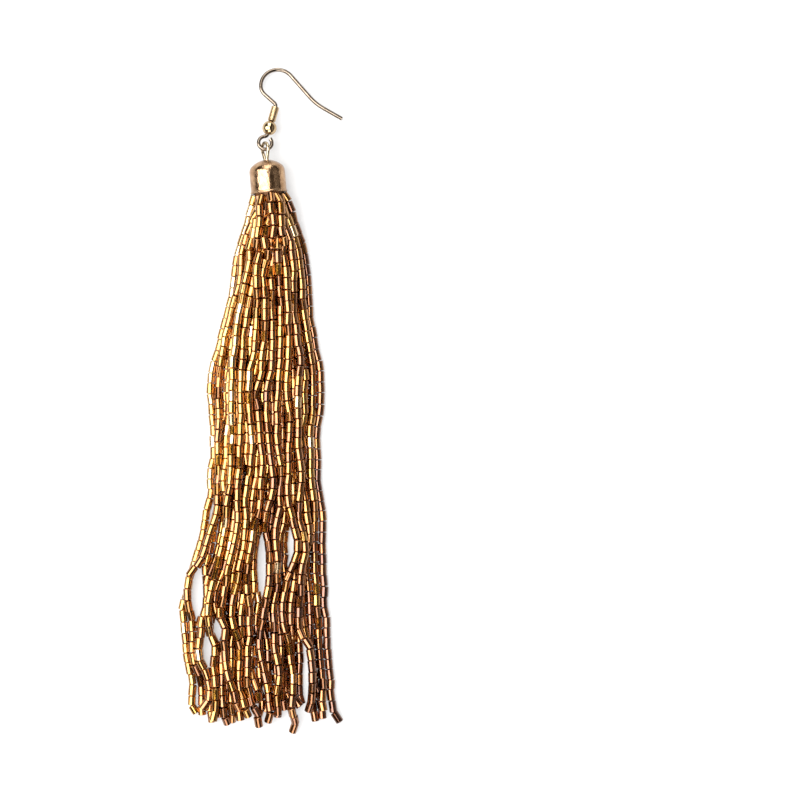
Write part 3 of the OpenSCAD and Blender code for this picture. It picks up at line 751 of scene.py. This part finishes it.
# %% Tree that turns rows of marks into threads
def thread_tree():
    """Makes a thin tube along each chain of edges."""
    tree, given = new_tree("threads", [
        ("Strands", "NodeSocketGeometry", None),
        ("Radius", "NodeSocketFloat", 0.0002),
        ("Sides", "NodeSocketInt", 5),
        ("Finish", "NodeSocketMaterial", None),
    ])
    new, link = tree.nodes.new, tree.links.new
    curve = new("GeometryNodeMeshToCurve")
    link(given["Strands"], curve.inputs["Mesh"])
    ring = new("GeometryNodeCurvePrimitiveCircle")
    link(given["Sides"], ring.inputs["Resolution"])
    link(given["Radius"], ring.inputs["Radius"])
    tube = new("GeometryNodeCurveToMesh")
    tube.inputs["Fill Caps"].default_value = True
    link(curve.outputs["Curve"], tube.inputs["Curve"])
    link(ring.outputs["Curve"], tube.inputs["Profile Curve"])
    finished(tree, tube.outputs["Mesh"], given["Finish"])
    return tree


# %% Helpers that run a tree and keep its result as a plain mesh
def line_mesh(name, chains):
    """Mesh of edges, one open chain for each array of points in millimetres."""
    verts = np.concatenate(chains) * MM
    ends = set(np.cumsum([len(c) for c in chains]))
    edges = [(k, k + 1) for k in range(len(verts) - 1) if k + 1 not in ends]
    mesh = bpy.data.meshes.new(name)
    mesh.from_pydata([tuple(v) for v in verts], edges, [])
    return mesh


def carry(mesh, name, kind, values):
    """Lets each point of the mesh carry a value under a name."""
    field = "vector" if kind == "FLOAT_VECTOR" else "value"
    attribute = mesh.attributes.new(name, kind, "POINT")
    attribute.data.foreach_set(field, np.ascontiguousarray(values, dtype=np.float32).ravel())


def grown(name, mesh, tree, **values):
    """Runs a node tree on a mesh and returns the result as an object with a plain mesh."""
    source = bpy.data.objects.new(name + "_lines", mesh)
    bpy.context.collection.objects.link(source)
    modifier = source.modifiers.new("tree", "NODES")
    modifier.node_group = tree
    keys = {s.name: s.identifier for s in tree.interface.items_tree if s.in_out == "INPUT"}
    for label, value in values.items():
        modifier[keys[label]] = value
    depsgraph = bpy.context.evaluated_depsgraph_get()
    result = bpy.data.meshes.new_from_object(source.evaluated_get(depsgraph))
    bpy.data.objects.remove(source)
    result.name = name
    piece = bpy.data.objects.new(name, result)
    bpy.context.collection.objects.link(piece)
    result.calc_loop_triangles()
    print(name + ":", len(result.loop_triangles), "triangles")
    return piece


# %% Choose each bead's shade
# Middle shade, and how much yellower the strand at the left edge is, as painted light from the big
# lamp at the left. To the right, the strands get darker, as painted shade, only as far as this lane.
MEAN_TONE = 0.50
PAINTED_LEFT_LIGHT = 0.18
PAINTED_SHADE_LANE = 0.3
# Column of a strand's lanes that says where it lies beside the slits
SLIT_LANE = 4
# Spread from strand to strand and from bead to bead, and how much darker the last bead is
STRAND_SPREAD = 0.12
BEAD_SPREAD = 0.11
END_FALL = 0.18
# Share of the beads that are champagne, and how much paler they are
PALE_SHARE = 0.05
PALE_RISE = (0.3, 0.5)


def tones_with_painted_light(i, count):
    """Shade of each bead of a strand: painted light makes the left strands yellower and painted shade
    the right ones darker, and the beads get darker towards the end.
    """
    painted_light_across = np.clip(-STRANDS[i][0][SLIT_LANE], -PAINTED_SHADE_LANE, 1)
    strand_tone_and_painted_light = MEAN_TONE + PAINTED_LEFT_LIGHT * painted_light_across + rng.normal(0, STRAND_SPREAD)
    pale = (rng.random(count) < PALE_SHARE) * rng.uniform(*PALE_RISE, count)
    darker = END_FALL * np.linspace(0, 1, count) ** 2
    return np.clip(strand_tone_and_painted_light + rng.normal(0, BEAD_SPREAD, count) + pale - darker, 0, 1)


# %% String the beads
# Share of its span between two joints that a bead fills
BEAD_FILL = 0.965
# Spread of a bead's lean on its thread, in millimetres between its ends
BEAD_LEAN = 0.05
joints = [points[0::2] for points in settled]
bead_line = line_mesh("bead_points", [points[1::2] for points in settled])
spans = np.concatenate([np.diff(j, axis=0) for j in joints])
lean = rng.normal(0, BEAD_LEAN, spans.shape) * [1, 0, 1]
carry(bead_line, "bead_axis", "FLOAT_VECTOR", spans + lean)
carry(bead_line, "bead_length", "FLOAT", BEAD_FILL * np.linalg.norm(spans, axis=1))
# Each bead's shade, with painted light at the left and painted shade right of the middle
carry(bead_line, "tone_with_painted_light", "FLOAT",
      np.concatenate([tones_with_painted_light(i, len(j) - 1) for i, j in enumerate(joints)]))
beads = grown("bead_fringe", bead_line, bead_tree(), Bead=bead, Finish=glass)

# %% Run the threads through the beads
# The threads start this far inside the mouth, in a ring of this radius
ROOT_IN = 1.0
ROOT_SPREAD = 2.0


def thread_root(i):
    """Where the thread of strand i leaves the head inside the cap."""
    lane, level = STRANDS[i][0][0], STRANDS[i][1][0]
    up = (2 * level - 1) * math.sqrt(1 - lane**2)
    return MOUTH + np.array([ROOT_SPREAD * lane, ROOT_IN, CAP_AXIS_Z + ROOT_SPREAD * up])


lines = [np.concatenate([[thread_root(i)], points]) for i, points in enumerate(settled)]
threads = grown("fringe_threads", line_mesh("thread_points", lines), thread_tree(), Finish=thread)
threads.data.shade_smooth()

# %% [markdown]
# ## The head inside the cap
# The strands' threads are bound to a plug that sits in the mouth of the cap. The beads hide most of
# it, but without it one could look past them into an empty cap. It could be wound from thread, but
# so little of it shows that a plain form does: a profile turned about an axis, as for the bead, and
# then laid along the cap.

# %% Make the thread-bound head
HEAD_SIDES = 24
# [radius, distance into the cap from the mouth], in millimetres
HEAD_PROFILE = [(0.4, -1.4), (2.5, -0.8), (3.1, 0.3), (3.1, 3.0), (2.7, 3.4), (0.4, 3.4)]
head_mesh = turned("thread_head", [(r * MM, h * MM) for r, h in HEAD_PROFILE], HEAD_SIDES)
head_mesh.transform(Euler((-math.pi / 2, 0, CAP_LEAN)).to_matrix().to_4x4())
head_mesh.transform(Matrix.Translation(Vector((*MOUTH[:2], CAP_AXIS_Z)) * MM))
head_mesh.materials.append(thread)
head_mesh.shade_smooth()
head = bpy.data.objects.new("thread_head", head_mesh)
bpy.context.collection.objects.link(head)
print("thread_head:", len(head_mesh.polygons), "faces")

# %% Say what each new piece rides on, and hide the plain solid of the fringe
for piece in (beads, threads, head):
    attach(piece, "root")
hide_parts("bead_tassel")
print("pieces:", beads.name, threads.name, head.name)

# %% [markdown]
# ## Floor
# The earring lies on a white sheet, and its shadows are hardly seen. A sheet that is lit only by the
# lamps would need many of them to lose its shadows, and they would all show in the beads. So the
# sheet is a pale grey with a faint light of its own, which is the same everywhere and fills them.

# %% Floor
FLOOR_HALF = 1.5
PAPER_GREYS = [(0.3, (0.36, 0.36, 0.36)), (0.7, (0.39, 0.39, 0.39))]
PAPER_LIGHT = 0.47
corners = [(-1, -1), (1, -1), (1, 1), (-1, 1)]
floor_mesh = bpy.data.meshes.new("pale_floor")
floor_mesh.from_pydata([(FLOOR_HALF * x, FLOOR_HALF * y, 0) for x, y in corners], [], [(0, 1, 2, 3)])
floor = bpy.data.objects.new("pale_floor", floor_mesh)
bpy.context.collection.objects.link(floor)
paper, paper_tree, paper_shader = new_material("white_paper")
grain = ramp(paper_tree, noise(paper_tree, cells=300), PAPER_GREYS)
paper_tree.links.new(grain, paper_shader.inputs["Base Color"])
paper_shader.inputs["Roughness"].default_value = 0.9
paper_shader.inputs["Emission Color"].default_value = (1, 1, 1, 1)
paper_shader.inputs["Emission Strength"].default_value = PAPER_LIGHT
floor_mesh.materials.append(paper)
print("floor:", 2 * FLOOR_HALF, "m wide")

# %% [markdown]
# ## Lights
# Most of what a shiny bead shows is the room around it. One lamp would do for a dull thing, but here
# the lights are chosen by what mirrors them: a large soft light from overhead to low at the left gives
# each bead its pale stripe and the cap its broad highlight, two strips at the right give the metal
# thin glints, boxes beyond the head and the foot light the bead ends, and the dim warm room leaves
# the rest deep amber.

# %% Lights, a row for each
# tilt: degrees from overhead; turn: degrees from the right; distance and size: metres
# [name, tilt, turn, distance, size, radiance]
LIGHTS = [
    ["left_softbox", 27, 180, 0.72, (0.52, 0.86), 7.5],
    ["right_strip", 50, 0, 0.70, (0.9, 0.05), 1.0],
    ["right_low_strip", 66, 0, 0.72, (0.9, 0.05), 0.8],
    ["head_softbox", 55, 90, 0.8, (0.5, 0.8), 4.0],
    ["foot_softbox", 55, 270, 0.8, (0.5, 0.8), 4.0],
]


def softbox(name, tilt, turn, distance, size, radiance):
    """Rectangular light that faces the earring."""
    data = bpy.data.lights.new(name, "AREA")
    data.shape = "RECTANGLE"
    data.size, data.size_y = size
    data.energy = radiance * math.pi * size[0] * size[1]
    light = bpy.data.objects.new(name, data)
    direction = Euler((0, math.radians(tilt), math.radians(turn))).to_matrix() @ Vector((0, 0, 1))
    light.location = distance * direction
    light.rotation_mode = "QUATERNION"
    light.rotation_quaternion = direction.to_track_quat("Z", "Y")
    bpy.context.collection.objects.link(light)
    print(name + ":", round(data.energy, 2), "W")


for row in LIGHTS:
    softbox(*row)

# %% Dim warm room
ROOM_COLOUR = (1.0, 0.83, 0.68, 1)
ROOM_LIGHT = 0.08
world = bpy.data.worlds.new("studio")
world.use_nodes = True
room = world.node_tree.nodes["Background"].inputs
room["Color"].default_value = ROOM_COLOUR
room["Strength"].default_value = ROOM_LIGHT
bpy.context.scene.world = world
bpy.context.scene.view_settings.view_transform = "Standard"
print("room:", ROOM_LIGHT)

# %% [markdown]
# ## Camera
# The photo is taken from straight above. A camera that isn't turned looks straight down already, so
# it only needs its place, with the earring to the left of the middle. A long lens half a metre away
# keeps the cap and the fringe from leaning outwards.

# %% Camera
SENSOR = 36
LENS = 107.14
CAMERA_AT = (0.02924, 0.00028, 0.503)
camera_data = bpy.data.cameras.new("camera")
camera_data.sensor_width = SENSOR
camera_data.lens = LENS
camera = bpy.data.objects.new("camera", camera_data)
camera.location = CAMERA_AT
bpy.context.collection.objects.link(camera)
bpy.context.scene.camera = camera
print("the picture is", round(CAMERA_AT[2] * SENSOR / LENS / MM), "mm wide on the floor")
